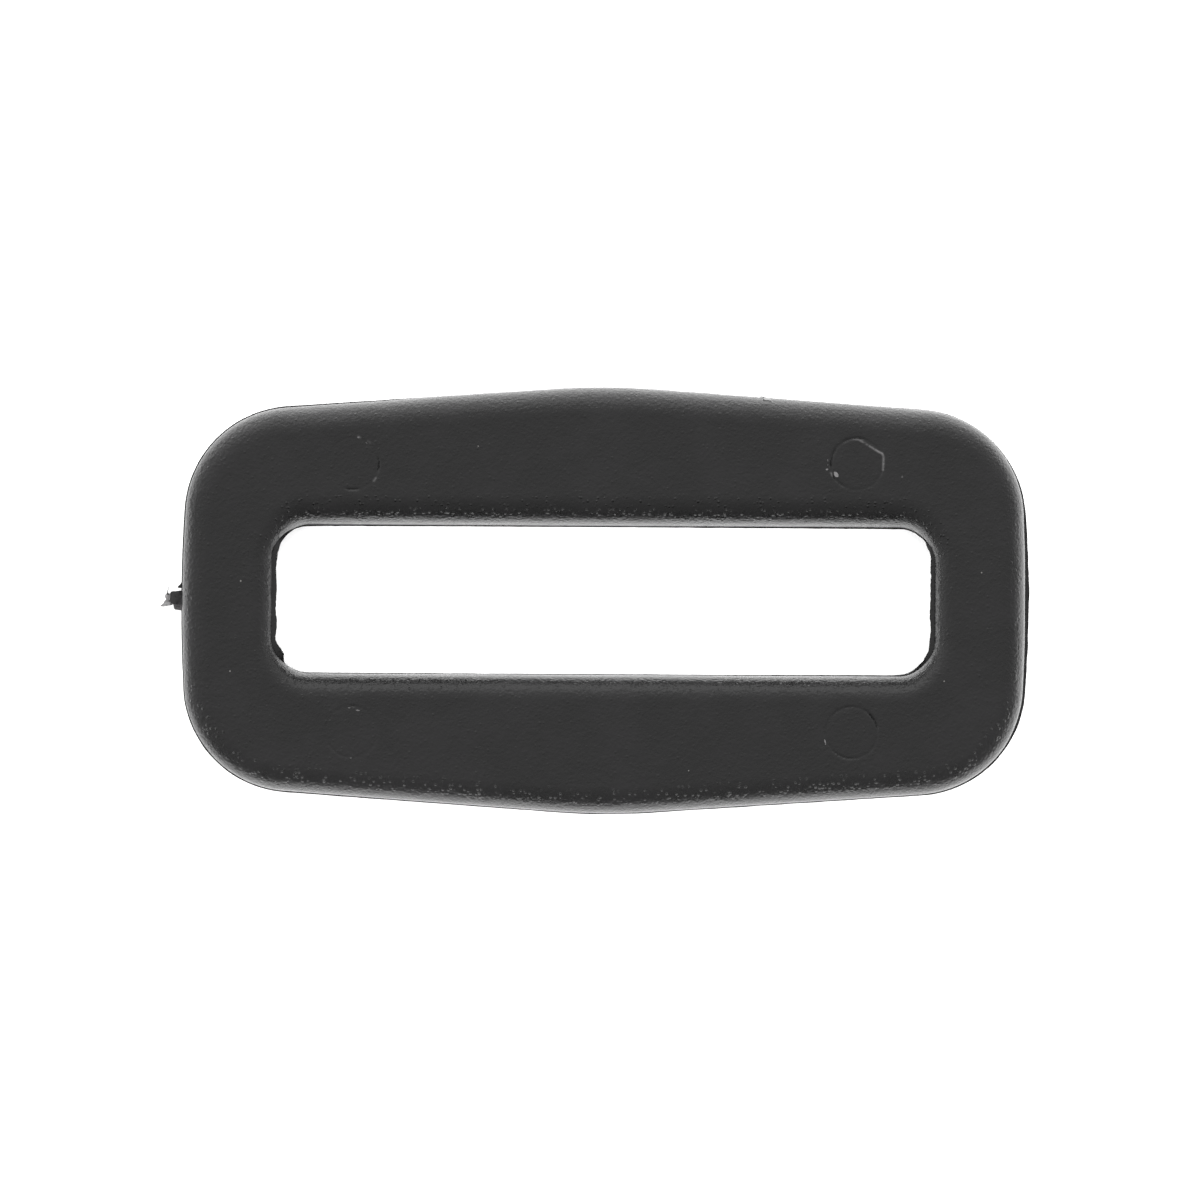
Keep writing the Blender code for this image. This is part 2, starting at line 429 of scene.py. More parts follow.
# The section of an edge: how wide its rounding is in plan and how high, and its draft, in mm; the
# steepest that the upper rounding gets before the flash cuts it off, in degrees; how far the upper half
# stands proud of the lower one there, in mm; and whether the flash lies half-way up, 0, or right under
# the upper rounding, 1.
Section = namedtuple("Section", "width height draft steepest proud lift")
OUTER_SECTIONS = {
    "far": Section(1.08, 1.08, 0.0, 90, 0.0, 0),
    "near": Section(0.98, 1.00, 0.0, 90, 0.0, 0),
    "left": Section(1.05, 0.75, 0.0, 77, 0.0, 0),
    "right": Section(0.92, 0.82, 0.0, 90, 0.0, 0),
}
SLOT_SECTIONS = {
    "far": Section(1.10, 1.32, 0.03, 90, 0.0, 0),
    "near": Section(1.00, 1.12, 0.03, 90, 0.0, 0),
    "left": Section(0.90, 0.90, 0.0, 65, 0.080, 1),
    "right": Section(0.90, 0.90, 0.0, 73, 0.105, 1),
}

# A row of the bar's section: its place between the slot, 0, and the outer edge, 1; its place on the
# rounding, out and up, both 0 to 1; its half, 1 upper, -1 lower and 0 the parting line; how far above the
# parting line it lies; and its share of the flash.
Row = namedtuple("Row", "across out up half above fin")

# One edge at one station: its outline's place and normal, its section there in metres with the steepest
# place on its rounding as a share of the width, the width of its flash, and its parting line's height.
Edge = namedtuple("Edge", "x y normal_x normal_y width height draft steepest proud flash parting")

# The roundings that face the near side are coarser, from the flat out to this share of their width.
COARSE_REACH = 0.68


def rounding_rows(across, half, count, outward):
    """Rows over a rounding, outward from the flat or inward to it. The row on the flat itself is left out."""
    if outward:
        angles = [pi / 2 * (1 - step / count) for step in range(1, count + 1)]
    else:
        angles = [pi / 2 * step / count for step in range(count)]
    return [Row(across, cos(angle), sin(angle), half, 0, 0) for angle in angles]


def section_rows():
    """Rows of the bar's section, from the slot's wall over the top and back underneath."""
    rows = [Row(0, 1, 0, 0, FIN_ROOT, 0)]
    rows += rounding_rows(0, 1, ROUNDING_ROWS, outward=False)
    rows += [Row(step / TOP_ROWS, 0, 1, 1, 0, 0) for step in range(TOP_ROWS + 1)]
    rows += rounding_rows(1, 1, ROUNDING_ROWS, outward=True)
    rows.append(Row(1, 1, 0, 0, FIN_ROOT, 0))
    rows.append(Row(1, 1, 0, 0, FIN_TIP, 1))
    rows.append(Row(1, 1, 0, 0, -FIN_TIP, 1))
    rows.append(Row(1, 1, 0, 0, -FIN_ROOT, 0))
    rows += rounding_rows(1, -1, UNDER_ROUNDING_ROWS, outward=False)
    rows += [Row(1 - step / UNDER_ROWS, 0, 1, -1, 0, 0) for step in range(UNDER_ROWS + 1)]
    rows += rounding_rows(0, -1, UNDER_ROUNDING_ROWS, outward=True)
    rows.append(Row(0, 1, 0, 0, -FIN_ROOT, 0))
    rows.append(Row(0, 1, 0, 0, -FIN_TIP, 1))
    rows.append(Row(0, 1, 0, 0, FIN_TIP, 1))
    return rows


def edge_at(station, sections, flash_keys, set_back_keys, top):
    """The edge at a station, its section easing from that of a long edge to that of an end."""
    x, y, normal_x, normal_y = station
    direction = degrees(atan2(y, x) % tau)
    long_edge = sections["far" if y > 0 else "near"]
    end = sections["left" if x < 0 else "right"]
    share = 1 - normal_y ** 4
    here = Section(*(a + (b - a) * share for a, b in zip(long_edge, end)))
    height = here.height * MM
    steepest = sin(radians(here.steepest))
    shelf = top - height + sqrt(1 - steepest * steepest) * height - FIN_ROOT
    parting = top / 2 + (shelf - top / 2) * here.lift
    set_back = between_keys(set_back_keys, direction) if set_back_keys else 0.0
    flash = flash_width(flash_keys, direction, x, y)
    return Edge(*station, here.width * MM, height, here.draft * MM, steepest, (here.proud - set_back) * MM,
                flash, parting)


def edge_place(edge, row):
    """Where a row crosses an edge's section: how far it stands out from the outline, and how high."""
    if row.half > 0:
        capped = min(row.out, edge.steepest)
        return (capped - 1) * edge.width - edge.draft + edge.proud, sqrt(1 - capped * capped) * edge.height
    if row.half < 0:
        return (row.out - 1) * edge.width - edge.draft, row.up * edge.height
    if row.fin == 0 and row.above > 0:
        return (edge.steepest - 1) * edge.width + edge.proud, 0.0
    return row.fin * edge.flash, 0.0


def loop_points(loop, pins):
    """Every point of the loop's skin, column by column, its painted burr highlight, how coarse it is, and
    both counts.
    """
    outer = whole_outline(outer_quarter(loop, pins))
    slot = whole_outline(slot_quarter(loop, pins))
    rows = section_rows()
    top = loop.thickness
    points = []
    torn_and_painted_light = []
    coarse = []
    for outer_station, slot_station in zip(outer, slot):
        edges = (edge_at(slot_station, SLOT_SECTIONS, SLOT_FLASH, None, top),
                 edge_at(outer_station, OUTER_SECTIONS, OUTER_FLASH, OUTER_SET_BACK, top))
        for row in rows:
            plan = []
            for edge in edges:
                stand = edge_place(edge, row)[0]
                plan.append((edge.x + edge.normal_x * stand, edge.y + edge.normal_y * stand))
            x, y = ((1 - row.across) * a + row.across * b for a, b in zip(*plan))
            edge = edges[row.across > 0.5]
            rise = top / 2 - edge.height + edge_place(edge, row)[1]
            z = top / 2 + row.half * rise if row.half else edge.parting + row.above
            on_face = row.half > 0 and row.out == 0
            on_rounding = row.half > 0 and 0 < row.out < COARSE_REACH
            # Painted highlight: the burrs round the pin marks are coloured paler.
            relief, burr_highlight = pin_relief(pins, x, y) if on_face else (0.0, 0.0)
            points.append((x, y, z + relief))
            torn_and_painted_light.append(burr_highlight)
            coarse.append(max(0.0, -edge.normal_y) if on_rounding else 0.0)
    return points, torn_and_painted_light, coarse, len(outer), len(rows)


def ring_faces(columns, rows):
    """Quads that close a ring of columns and a ring of rows."""
    faces = []
    for column in range(columns):
        after = (column + 1) % columns
        for row in range(rows):
            above = (row + 1) % rows
            faces.append((column * rows + row, column * rows + above,
                          after * rows + above, after * rows + row))
    return faces


def mesh_object(name, points, faces, material, sharp=SHARP_ANGLE):
    """A smooth-shaded mesh object in the scene."""
    mesh = bpy.data.meshes.new(name)
    mesh.from_pydata(points, [], faces)
    mesh.validate()
    mesh.shade_smooth()
    mesh.set_sharp_from_angle(angle=sharp)
    mesh.materials.append(material)
    piece = bpy.data.objects.new(name, mesh)
    bpy.context.scene.collection.objects.link(piece)
    return piece


def mark(piece, name, values):
    """Store a value for each point, for the plastic to read: how coarse it is there, or how torn it is
    together with the light painted on it.
    """
    attribute = piece.data.attributes.new(name, "FLOAT", "POINT")
    attribute.data.foreach_set("value", values)


def weld(piece):
    """Join the points that fall on one another, so that no face is left without an area."""
    skin = bmesh.new()
    skin.from_mesh(piece.data)
    bmesh.ops.remove_doubles(skin, verts=skin.verts, dist=WELD_REACH)
    skin.to_mesh(piece.data)
    skin.free()
    piece.data.set_sharp_from_angle(angle=SHARP_ANGLE)


def hand_over(piece):
    """Let a finished piece move with the loop."""
    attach(piece, "root")


# ---------------------------------------------------------------- torn gate and chips

# A lump: stations round it, rings on each of its faces as shares of its outline, and rows up its side.
CHUNK_STATIONS = 44
CHUNK_RINGS = (0.97, 0.90, 0.80, 0.66, 0.50, 0.32, 0.15)
CHUNK_SIDE_ROWS = 5
CHUNK_SHARP_ANGLE = radians(50)

# Its raggedness: the scale, a finer and weaker one on top of it, and where each direction's noise is read.
STRAY_SCALE = 5.5 / MM
FINER_STRAY_SCALE = 2.7
FINER_STRAY = 0.5
STRAY_SHIFTS = ((0, 0, 0), (17.3, 5.1, 9.7), (3.9, 23.1, 13.3))


def resampled(outline, count):
    """A closed outline cut into stations at even spacing."""
    corners = [Vector(corner) for corner in outline]
    sides = list(zip(corners, corners[1:] + corners[:1]))
    total = sum((end - start).length for start, end in sides)
    stations = []
    gone = 0.0
    for start, end in sides:
        length = (end - start).length
        while len(stations) < count and len(stations) * total / count < gone + length:
            stations.append(start.lerp(end, (len(stations) * total / count - gone) / length))
        gone += length
    return stations


def stray_at(place):
    """How far a ragged surface strays at a place: a noise of its own for each direction."""
    return Vector([noise.noise(place + Vector(shift)) for shift in STRAY_SHIFTS])


def torn_chunk(outline, low, high, ragged, seed, tilt=(0.0, 0.0)):
    """Points and faces of a closed ragged lump. Its outline is in plan; low and high are its two heights.

    Ragged is how far the surface strays, and tilt how much both faces rise for each unit along X and Y.
    """
    stations = resampled(outline, CHUNK_STATIONS)
    middle = sum(stations, Vector((0, 0))) / len(stations)
    rows = [(share, low) for share in reversed(CHUNK_RINGS)]
    rows += [(1.0, low + (high - low) * (step + 0.5) / CHUNK_SIDE_ROWS) for step in range(CHUNK_SIDE_ROWS)]
    rows += [(share, high) for share in CHUNK_RINGS]
    points = []
    for share, height in rows:
        for station in stations:
            plan = middle + (station - middle) * share
            rise = (plan.x - middle.x) * tilt[0] + (plan.y - middle.y) * tilt[1]
            place = Vector((plan.x, plan.y, height))
            spot = place * STRAY_SCALE
            stray = stray_at(spot + Vector((seed, 0, 0)))
            stray += FINER_STRAY * stray_at(spot * FINER_STRAY_SCALE + Vector((0, seed, 0)))
            points.append(place + Vector((0, 0, rise)) + stray * ragged)
    count = len(stations)
    faces = []
    for row in range(len(rows) - 1):
        for station in range(count):
            after = (station + 1) % count
            faces.append((row * count + station, row * count + after,
                          (row + 1) * count + after, (row + 1) * count + station))
    for row, turn in ((0, -1), (len(rows) - 1, 1)):
        ring = [row * count + station for station in range(count)][::turn]
        points.append(sum((points[place] for place in ring), Vector()) / count)
        faces += [(ring[place], ring[(place + 1) % count], len(points) - 1) for place in range(count)]
    return points, faces


def whisker(path, radius):
    """Points and faces of a fine thread of plastic that thins out along its path."""
    points = []
    for place, point in enumerate(path):
        ahead = Vector(path[min(place + 1, len(path) - 1)]) - Vector(path[max(place - 1, 0)])
        across = ahead.cross(Vector((0, 0, 1))).normalized()
        upward = across.cross(ahead).normalized()
        thin = radius * (1 - WHISKER_TAPER * place / (len(path) - 1))
        for side in range(WHISKER_SIDES):
            angle = tau * side / WHISKER_SIDES
            points.append(Vector(point) + across * thin * cos(angle) + upward * thin * sin(angle))
    faces = []
    for place in range(len(path) - 1):
        for side in range(WHISKER_SIDES):
            after = (side + 1) % WHISKER_SIDES
            faces.append((place * WHISKER_SIDES + side, (place + 1) * WHISKER_SIDES + side,
                          (place + 1) * WHISKER_SIDES + after, place * WHISKER_SIDES + after))
    faces.append(tuple(range(WHISKER_SIDES)))
    faces.append(tuple(reversed(range(len(points) - WHISKER_SIDES, len(points)))))
    return points, faces


def joined(name, parts, material):
    """One mesh object out of several parts. A part is its points, its faces and how torn it is, together with
    any light painted on it.
    """
    points, faces, torn_and_painted_light = [], [], []
    for part_points, part_faces, part_torn_and_painted_light in parts:
        base = len(points)
        points += part_points
        faces += [tuple(base + index for index in face) for face in part_faces]
        torn_and_painted_light += [part_torn_and_painted_light] * len(part_points)
    piece = mesh_object(name, points, faces, material, sharp=CHUNK_SHARP_ANGLE)
    mark(piece, "torn_and_painted_light", torn_and_painted_light)
    return piece


# How torn plastic looks: 0 is the moulded skin, 1 frayed and grey, and from 1.2 up it turns pale: painted
# light, the light shining through a thin flake and the floor's reflection on the flakes at the nick. The grey
# also paints the highlights on the pin burrs and on the gate's lower step.

# The gate, in mm: outlines run counter-clockwise, X outward from the end of the loop and Y as it is.
# Each lump has its outline, its two heights, how ragged it is, its tilt, and how torn it looks; the lower
# step's grey is partly a painted highlight, and the flakes above 1.2 are painted with the light shining
# through.
GATE_LUMPS = (
    (((-0.45, -0.25), (0.02, -0.25), (0.22, -0.26), (0.39, -0.25), (0.435, -0.12), (0.43, 0.10),
      (0.445, 0.22), (0.40, 0.26), (0.20, 0.275), (0.02, 0.30), (-0.45, 0.30)),
     1.26, 1.98, 0.016, (0.05, 0.0), 0.06),
    # The lower step: its grey is partly a painted highlight.
    (((-0.45, -0.46), (0.02, -0.47), (0.24, -0.45), (0.30, -0.40), (0.31, -0.30), (0.34, -0.20),
      (-0.45, -0.18)),
     1.34, 1.82, 0.014, (-0.15, 0.10), 0.45),
    (((-0.30, 0.38), (0.02, 0.39), (0.13, 0.40), (0.165, 0.43), (0.13, 0.48), (0.05, 0.53), (0.01, 0.62),
      (-0.30, 0.66)),
     1.50, 1.70, 0.010, (0.0, 0.0), 0.0),
    # The thin flakes: painted pale, the light shining through them.
    (((0.34, -0.27), (0.50, -0.30), (0.62, -0.31), (0.70, -0.325), (0.85, -0.315), (0.80, -0.27),
      (0.71, -0.22), (0.67, -0.11), (0.61, -0.03), (0.68, 0.06), (0.62, 0.15), (0.56, 0.22),
      (0.46, 0.19), (0.34, 0.12)),
     1.56, 1.72, 0.022, (0.30, -0.10), 1.5),
    (((0.40, -0.06), (0.55, -0.12), (0.60, 0.02), (0.55, 0.13), (0.40, 0.12)),
     1.72, 1.84, 0.022, (0.20, 0.25), 1.4),
    (((0.42, -0.26), (0.62, -0.29), (0.66, -0.20), (0.55, -0.12), (0.42, -0.14)),
     1.72, 1.80, 0.020, (0.10, -0.20), 1.5),
)
FIRST_GATE_SEED = 3.0

# The fine thread at the tip of the gate, with its path in mm like the lumps.
WHISKER_PATH = ((0.50, 0.10, 1.80), (0.53, 0.18, 1.85), (0.52, 0.26, 1.88), (0.51, 0.34, 1.87),
                (0.505, 0.43, 1.83))
WHISKER_RADIUS = 0.032 * MM
WHISKER_TAPER = 0.5
WHISKER_TORN = 0.25
WHISKER_SIDES = 7

# Chips of plastic on the surface, in mm and degrees: place, length, width, height, turn, and how torn.
# The last two are the flakes at the nick on the far edge, painted pale: a painted reflection of the floor.
CHIPS = (
    ((8.94, 4.88, 3.20), 0.25, 0.16, 0.07, 120, 0.75),
    ((8.62, 5.42, 3.20), 0.11, 0.05, 0.04, 85, 0.30),
    ((8.63, 5.26, 3.20), 0.10, 0.05, 0.04, 70, 0.35),
    ((8.59, 5.07, 3.20), 0.11, 0.07, 0.05, 10, 0.70),
    ((-9.52, 6.22, 3.20), 0.12, 0.06, 0.03, 0, 0.5),
    ((-9.22, 6.00, 3.20), 0.10, 0.05, 0.03, -40, 0.25),
    ((8.57, -5.47, 3.20), 0.23, 0.06, 0.05, 98, 0.7),
    ((-9.81, -4.25, 3.20), 0.14, 0.05, 0.03, 0, 0.45),
    ((-9.50, -4.34, 3.20), 0.16, 0.06, 0.03, -15, 0.6),
    ((-9.75, -6.18, 3.20), 0.08, 0.05, 0.03, 10, 0.3),
    ((11.50, 4.80, 3.20), 0.10, 0.08, 0.03, 60, 0.22),
    # The flakes at the nick: painted pale, a painted reflection of the floor.
    ((6.29, 7.80, 2.54), 0.34, 0.12, 0.10, -18, 2.0),
    ((6.12, 7.91, 2.22), 0.28, 0.045, 0.06, -8, 1.8),
)

# A chip's outline, one unit long and one wide, and how ragged every chip is.
CHIP_SHAPE = ((-0.5, -0.1), (-0.2, -0.5), (0.3, -0.4), (0.5, 0.15), (0.1, 0.5), (-0.35, 0.35))
CHIP_RAGGED = 0.012 * MM


def chip_outline(length, width, turn):
    """A lozenge with uneven ends, turned in plan."""
    turned = Matrix.Rotation(radians(-turn), 2)
    return [Vector((x * length, y * width)) @ turned for x, y in CHIP_SHAPE]


# ---------------------------------------------------------------- plastic

# How much each part of the surface's relief counts, as a share of the grain depth.
GRAIN_RISE = 1.15
LUMP_RISE = 0.75
NUB_RISE = 0.48
SCUFF_RISE = 0.9
SPECK_RISE = 1.9

# How closely the lumps and the nubs follow each other, beside the grain, and how closely the streaks do.
LUMP_PITCH = 0.30
NUB_PITCH = 0.85
STREAK_PITCH = 0.45 / MM

# From where to where things come in: a nub and a speck, inward from their rims; the share of cells that
# hold one; coarse places; the grain at which torn plastic frays; pale flakes; paler streaks; and a dust
# speck's rim, beside its radius.
NUB_RIM = (0.46, 0.08)
NUB_CHOSEN = (0.40, 0.95)
SPECK_RIM = (0.44, 0.06)
SPECK_CHOSEN = (0.35, 0.85)
COARSE_RANGE = (0.10, 0.55)
FRAYED_RANGE = (0.22, 0.52)
PAINTED_LIGHT_RANGE = (1.2, 2.0)
STREAK_RANGE = (0.40, 0.66)
DUST_RIM = (1.3, 0.9)

# The gloss: how much rougher the grain, the streaks and torn places are than the rest.
GRAIN_ROUGHER = 0.10
STREAK_ROUGHER = 0.03
TORN_ROUGHER = 0.25
PLASTIC_IOR = 1.5

# Specks of dust, in mm: place and radius.
DUST = (
    ((-14.05, 0.64, 3.2), 0.055), ((-14.44, -2.85, 3.2), 0.045), ((14.58, 1.11, 3.2), 0.050),
    ((13.15, -3.09, 3.2), 0.045), ((-4.9, 5.9, 3.2), 0.035), ((3.3, -6.6, 3.2), 0.035),
)

# Fine scuff lines near one corner: their middle in mm, how far they reach, and how closely they follow
# each other, with the stretch along them.
SCUFFED = (-15.9, -3.8, 2.7)
SCUFF_REACH = 2.0 * MM
SCUFF_HEART = 0.8 * MM
SCUFF_PITCH = 6.5 / MM
SCUFF_STRETCH = (0.12, 1.0, 0.12)


class Tree:
    """A material's node tree, with short ways to add and join its nodes."""

    def __init__(self, owner):
        owner.use_nodes = True
        self.nodes = owner.node_tree.nodes
        self.links = owner.node_tree.links
        self.nodes.clear()

    def add(self, kind, settings=None, **inputs):
        """Add a node. An input takes a number, a colour or another node's output; i0, i1... go by number."""
        node = self.nodes.new(kind)
        for name, value in (settings or {}).items():
            setattr(node, name, value)
        for name, value in inputs.items():
            numbered = name[0] == "i" and name[1:].isdigit()
            socket = node.inputs[int(name[1:]) if numbered else name]
            if isinstance(value, bpy.types.NodeSocket):
                self.links.new(value, socket)
            else:
                socket.default_value = value
        return node

    def math(self, kind, first, second=0.0, third=0.0, clamp=False):
        """A Math node's result."""
        settings = {"operation": kind, "use_clamp": clamp}
        return self.add("ShaderNodeMath", settings, i0=first, i1=second, i2=third).outputs[0]

    def ease(self, value, start, end, low=0.0, high=1.0):
        """The value eased from one range to another."""
        settings = {"interpolation_type": "SMOOTHSTEP"}
        node = self.add("ShaderNodeMapRange", settings, i0=value, i1=start, i2=end, i3=low, i4=high)
        return node.outputs[0]

    def cloudy(self, place, pitch, **detail):
        """A noise that follows the surface, with so many lumps to a metre."""
        return self.add("ShaderNodeTexNoise", Vector=place, Scale=pitch, **detail).outputs["Fac"]

    def away(self, place, spot):
        """How far a place is from a spot given in mm."""
        spot = [part * MM for part in spot]
        return self.add("ShaderNodeVectorMath", {"operation": "DISTANCE"}, i0=place, i1=spot).outputs["Value"]

    def stored(self, name):
        """A value that is stored with the mesh."""
        settings = {"attribute_type": "GEOMETRY", "attribute_name": name}
        return self.add("ShaderNodeAttribute", settings).outputs["Fac"]

    def blend(self, share, first, second):
        """A colour between two others."""
        node = self.add("ShaderNodeMix", {"data_type": "RGBA"}, i0=share, i6=first, i7=second)
        return node.outputs[2]


def plastic(settings):
    """Black plastic with a fine moulded grain, faint streaks, dust, paler torn places, and painted highlights
    and glints on the burrs and flakes.
    """
    material = bpy.data.materials.new("black_plastic")
    tree = Tree(material)
    place = tree.add("ShaderNodeTexCoord").outputs["Object"]
    pitch = 1 / settings.grain_size
    grain = tree.cloudy(place, pitch, Detail=2.5, Roughness=0.55)
    lumps = tree.cloudy(place, LUMP_PITCH * pitch, Detail=2.0)
    cells = tree.add("ShaderNodeTexVoronoi", Vector=place, Scale=NUB_PITCH * pitch).outputs
    clouds = tree.cloudy(place, STREAK_PITCH, Detail=4.0, Roughness=0.6)
    torn_and_painted_light = tree.stored("torn_and_painted_light")
    coarse = tree.stored("coarse")

    # Moulded grain with small nubs. Only some of the cells hold a nub, and only some a coarse speck.
    chosen = tree.add("ShaderNodeSeparateColor", Color=cells["Color"]).outputs
    nubs = tree.ease(cells["Distance"], *NUB_RIM)
    nubs = tree.math("MULTIPLY", nubs, tree.ease(chosen[0], *NUB_CHOSEN))
    specks = tree.ease(cells["Distance"], *SPECK_RIM)
    specks = tree.math("MULTIPLY", specks, tree.ease(chosen[1], *SPECK_CHOSEN))
    specks = tree.math("MULTIPLY", specks, tree.ease(coarse, *COARSE_RANGE))
    relief = tree.math("MULTIPLY_ADD", nubs, NUB_RISE, tree.math("MULTIPLY", grain, GRAIN_RISE))
    relief = tree.math("MULTIPLY_ADD", lumps, LUMP_RISE, relief)

    # Scuff lines that fade out round their middle.
    along = tree.add("ShaderNodeVectorMath", {"operation": "MULTIPLY"}, i0=place, i1=SCUFF_STRETCH)
    lines = tree.cloudy(along.outputs["Vector"], SCUFF_PITCH, Detail=1.0)
    near = tree.ease(tree.away(place, SCUFFED), SCUFF_REACH, SCUFF_HEART)
    scuffs = tree.math("MULTIPLY", lines, near)
    relief = tree.math("MULTIPLY_ADD", scuffs, SCUFF_RISE, relief)
    relief = tree.math("MULTIPLY_ADD", specks, SPECK_RISE, relief)
    surface = tree.add("ShaderNodeBump", Strength=1.0, Distance=settings.grain_depth, Height=relief)

    # Torn plastic frays with the grain, and so do the painted highlights on the burrs and the gate's lower
    # step;
    # dust lies in ragged specks.
    frayed_and_highlit = tree.math("MULTIPLY", torn_and_painted_light, tree.ease(grain, *FRAYED_RANGE), clamp=True)
    dusty = 0.0
    for spot, radius in DUST:
        edge = tree.math("MULTIPLY_ADD", grain, radius * MM, tree.away(place, spot))
        speck = tree.ease(edge, *(rim * radius * MM for rim in DUST_RIM))
        dusty = tree.math("MAXIMUM", speck, dusty)

    streak = tree.ease(clouds, *STREAK_RANGE)
    colour = tree.blend(streak, settings.colour, settings.colour_light)
    # Torn grey, which also paints the highlights on the burrs and the gate's lower step.
    colour = tree.blend(frayed_and_highlit, colour, settings.torn_and_highlight_colour)
    # Painted light: pale for the floor's reflection on the nick's flakes and for the light through the gate's
    # flakes.
    colour = tree.blend(tree.ease(torn_and_painted_light, *PAINTED_LIGHT_RANGE), colour, settings.painted_light_colour)
    colour = tree.blend(dusty, colour, settings.dust_colour)
    shine = tree.math("MULTIPLY_ADD", grain, GRAIN_ROUGHER, settings.roughness - GRAIN_ROUGHER / 2)
    shine = tree.math("MULTIPLY_ADD", streak, STREAK_ROUGHER, shine)
    shine = tree.math("MULTIPLY_ADD", frayed_and_highlit, TORN_ROUGHER, shine, clamp=True)
    finish = tree.add("ShaderNodeBsdfPrincipled", **{
        "Base Color": colour, "Roughness": shine, "IOR": PLASTIC_IOR, "Normal": surface.outputs["Normal"]})
    tree.add("ShaderNodeOutputMaterial", Surface=finish.outputs[0])
    return material


def plastic_of(context):
    """The plastic, made once and shared by every piece."""
    return bpy.data.materials.get("black_plastic") or plastic(context.scene.strap_plastic)


# ---------------------------------------------------------------- stage

TABLE_HALF = 1.30
TABLE_UNEVEN = 0.985
TABLE_CLOUD_PITCH = 9.0
TABLE_LAMP_SIZE = (2.40, 2.40)
TABLE_LAMP_PLACE = (0, 0, 0.70)
KEY_LAMP_SIZE = (1.30, 0.55)
KEY_LAMP_PLACE = (-0.15, 0.85, 0.42)

# The grey surround: its level overhead, how much brighter it is beyond the far edge, towards the right
# end and low down, up to what height that goes and how far round to the near side, and the height of the
# bright band along the horizon.
OVERHEAD = 1.05
FAR_GAIN = 0.47
RIGHT_GAIN = -0.10
LOW_GAIN = 0.70
LOW_TOP = 0.75
LOW_NEAR_END = -0.7
HORIZON_BAND = 0.03

# The camera: its sensor in mm, what it sees in metres, and where it aims beside the middle of the loop.
SENSOR_WIDTH = 36.0
CLIP_START = 0.01
CLIP_END = 10.0
VIEW_OFFSET = (0.24 * MM, 0.02 * MM)


def table_finish(settings):
    """A matte white table top, with a faint unevenness."""
    material = bpy.data.materials.new("white_table")
    tree = Tree(material)
    place = tree.add("ShaderNodeTexCoord").outputs["Object"]
    share = tree.ease(tree.cloudy(place, TABLE_CLOUD_PITCH, Detail=3.0), 0.3, 0.7)
    faint = [part * TABLE_UNEVEN for part in settings.table_colour[:3]] + [1.0]
    colour = tree.blend(share, settings.table_colour, faint)
    finish = tree.add("ShaderNodeBsdfPrincipled", **{
        "Base Color": colour, "Roughness": 0.85, "Specular IOR Level": 0.2})
    tree.add("ShaderNodeOutputMaterial", Surface=finish.outputs[0])
    return material


def table_top(settings):
    """The table that the loop lies on."""
    half = TABLE_HALF
    corners = [(-half, -half, 0), (half, -half, 0), (half, half, 0), (-half, half, 0)]
    table = mesh_object("table_top", corners, [(0, 1, 2, 3)], table_finish(settings))
    return table


def surround(settings):
    """A soft grey surround, brighter beyond the far edge and in a thin band along the horizon."""
    world = bpy.data.worlds.new("surround")
    bpy.context.scene.world = world
    tree = Tree(world)
    toward = tree.add("ShaderNodeTexCoord").outputs["Generated"]
    parts = tree.add("ShaderNodeSeparateXYZ", Vector=toward).outputs
    side = tree.math("MULTIPLY_ADD", parts["Y"], FAR_GAIN, OVERHEAD)
    side = tree.math("MULTIPLY_ADD", parts["X"], RIGHT_GAIN, side)
    low = tree.ease(parts["Z"], LOW_TOP, 0.0, 0.0, LOW_GAIN)
    side = tree.math("MULTIPLY_ADD", low, tree.ease(parts["Y"], LOW_NEAR_END, 0.0), side)
    glow = tree.math("MULTIPLY", side, settings.sky_strength)
    horizon = tree.ease(parts["Z"], HORIZON_BAND, 0.5 * HORIZON_BAND)
    light = tree.math("ADD", glow, horizon)
    sky = tree.add("ShaderNodeBackground", Color=(1, 1, 1, 1), Strength=light)
    tree.add("ShaderNodeOutputWorld", Surface=sky.outputs[0])


def lamp(name, size, place, power):
    """A soft rectangular lamp that faces the loop and isn't seen itself."""
    data = bpy.data.lights.new(name, "AREA")
    data.shape = "RECTANGLE"
    data.size, data.size_y = size
    data.energy = power
    lit = bpy.data.objects.new(name, data)
    lit.location = place
    lit.rotation_euler = Vector(place).to_track_quat("Z", "Y").to_euler()
    lit.visible_camera = False
    bpy.context.scene.collection.objects.link(lit)
    return lit


def camera(settings, loop):
    """The camera, nearly straight above the middle of the loop's whole length, gate stub included."""
    data = bpy.data.cameras.new("overhead_camera")
    middle = (LOW + HIGH) / 2
    distance = settings.camera_height - loop.thickness / 2
    data.sensor_width = SENSOR_WIDTH
    data.lens = SENSOR_WIDTH * distance / settings.view_width
    data.clip_start = CLIP_START
    data.clip_end = CLIP_END
    data.dof.use_dof = False
    view = bpy.data.objects.new("overhead_camera", data)
    aim = Vector((middle.x + VIEW_OFFSET[0], middle.y + VIEW_OFFSET[1], loop.thickness / 2))
    lean = Matrix.Rotation(settings.camera_turn, 3, "Z") @ Matrix.Rotation(settings.camera_tilt, 3, "X")
    view.location = aim + lean @ Vector((0, 0, distance))
    view.rotation_euler = lean.to_euler()
    bpy.context.scene.collection.objects.link(view)
    bpy.context.scene.camera = view


# ---------------------------------------------------------------- operators

